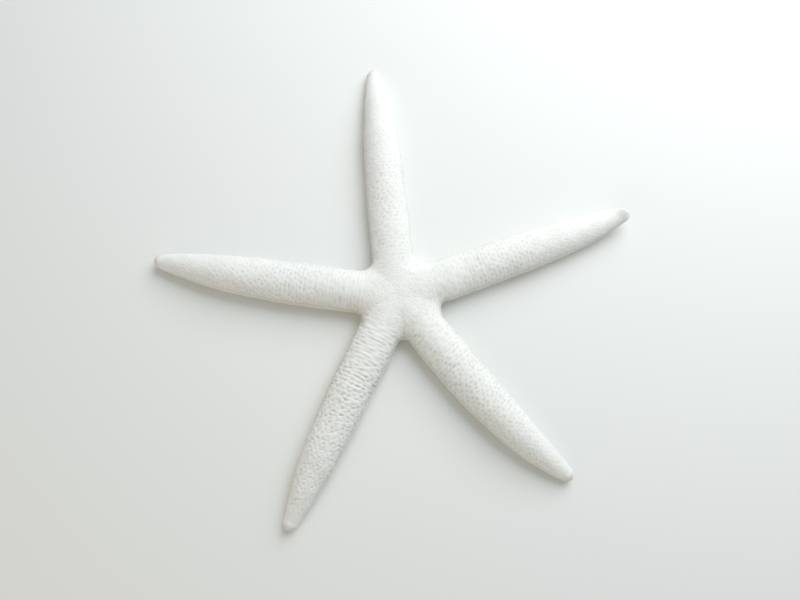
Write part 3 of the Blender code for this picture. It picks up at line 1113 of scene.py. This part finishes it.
FLOOR_REACH = 3.0             # half the side of the floor
FLOOR_GAP = 0.05 * MM         # how far under the sole the floor lies, so that the two never share a plane
KEY_PLACE = Vector((0.24, 0.36, 0.42))
KEY_SIZE = 0.50
FILL_PLACE = Vector((-0.38, -0.42, 0.22))
FILL_SIZE = 0.50


def add_light(name, place, target, size, power, colour):
    """Add a square area light at a place, facing a target."""
    data = bpy.data.lights.new(name, "AREA")
    data.shape = "SQUARE"
    data.size = size
    data.energy = power
    data.color = linear(colour)[:3]
    light = bpy.data.objects.new(name, data)
    light.location = place
    light.rotation_euler = (target - place).to_track_quat("-Z", "Y").to_euler()
    bpy.context.scene.collection.objects.link(light)
    return light


class STARFISH_OT_stage(bpy.types.Operator):
    """Set up the floor, the lights and the camera"""
    bl_idname = "starfish.stage"
    bl_label = "Stage"

    def execute(self, context):
        scene = context.scene
        stage = scene.starfish_stage
        middle = standing(scene.starfish_shape)
        middle.z = 0.0

        bm = bmesh.new()
        bmesh.ops.create_grid(bm, x_segments=1, y_segments=1, size=FLOOR_REACH)
        bmesh.ops.translate(bm, verts=bm.verts, vec=Vector((0.0, 0.0, -FLOOR_GAP)))
        floor = finish_piece(bm, "floor", floor_paper(scene.starfish_colours))

        target = middle + Vector(stage.aim)
        back = Vector((0.0, -cos(stage.elevation), sin(stage.elevation)))
        data = bpy.data.cameras.new("camera")
        data.angle = stage.field
        data.clip_start = 10.0 * MM
        camera = bpy.data.objects.new("camera", data)
        camera.location = target + stage.distance * back
        camera.rotation_euler = (-back).to_track_quat("-Z", "Y").to_euler()
        scene.collection.objects.link(camera)
        scene.camera = camera

        add_light("key", KEY_PLACE, middle, KEY_SIZE, stage.key_power, "#FBFEFF")
        add_light("fill", FILL_PLACE, middle, FILL_SIZE, stage.fill_power, "#FFE6BE")
        world = bpy.data.worlds.new("pale_room")
        world.use_nodes = True
        sky = world.node_tree.nodes["Background"]
        sky.inputs["Color"].default_value = linear("#F5F8F8")
        sky.inputs["Strength"].default_value = stage.sky
        scene.world = world
        scene.view_settings.view_transform = "Standard"
        return {"FINISHED"}


# ---------------------------------------------------------------- add-on


class STARFISH_PT_panel(bpy.types.Panel):
    """Lists the starfish's pieces and its stage"""
    bl_idname = "STARFISH_PT_panel"
    bl_label = "Starfish"
    bl_space_type = "VIEW_3D"
    bl_region_type = "UI"
    bl_category = "Starfish"

    def draw(self, context):
        for group in GROUPS:
            box = self.layout.box()
            settings = getattr(context.scene, group)
            for name in settings.bl_rna.properties.keys():
                if name not in ("rna_type", "name"):
                    box.prop(settings, name)
        for operator in OPERATORS:
            self.layout.operator(operator.bl_idname)


GROUPS = {
    "starfish_shape": StarfishShape,
    "starfish_relief": StarfishRelief,
    "starfish_colours": StarfishColours,
    "starfish_stage": StarfishStage,
}
OPERATORS = (
    STARFISH_OT_body_wall,
    STARFISH_OT_groove_spines,
    STARFISH_OT_sieve_plate,
    STARFISH_OT_stage,
)
CLASSES = (*GROUPS.values(), *OPERATORS, STARFISH_PT_panel)


def register():
    for cls in CLASSES:
        bpy.utils.register_class(cls)
    for name, group in GROUPS.items():
        setattr(bpy.types.Scene, name, PointerProperty(type=group))


def unregister():
    for name in GROUPS:
        delattr(bpy.types.Scene, name)
    for cls in reversed(CLASSES):
        bpy.utils.unregister_class(cls)


def main():
    register()
    bpy.ops.starfish.body_wall()
    bpy.ops.starfish.groove_spines()
    bpy.ops.starfish.sieve_plate()
    bpy.ops.starfish.stage()


if __name__ == "__main__":
    main()
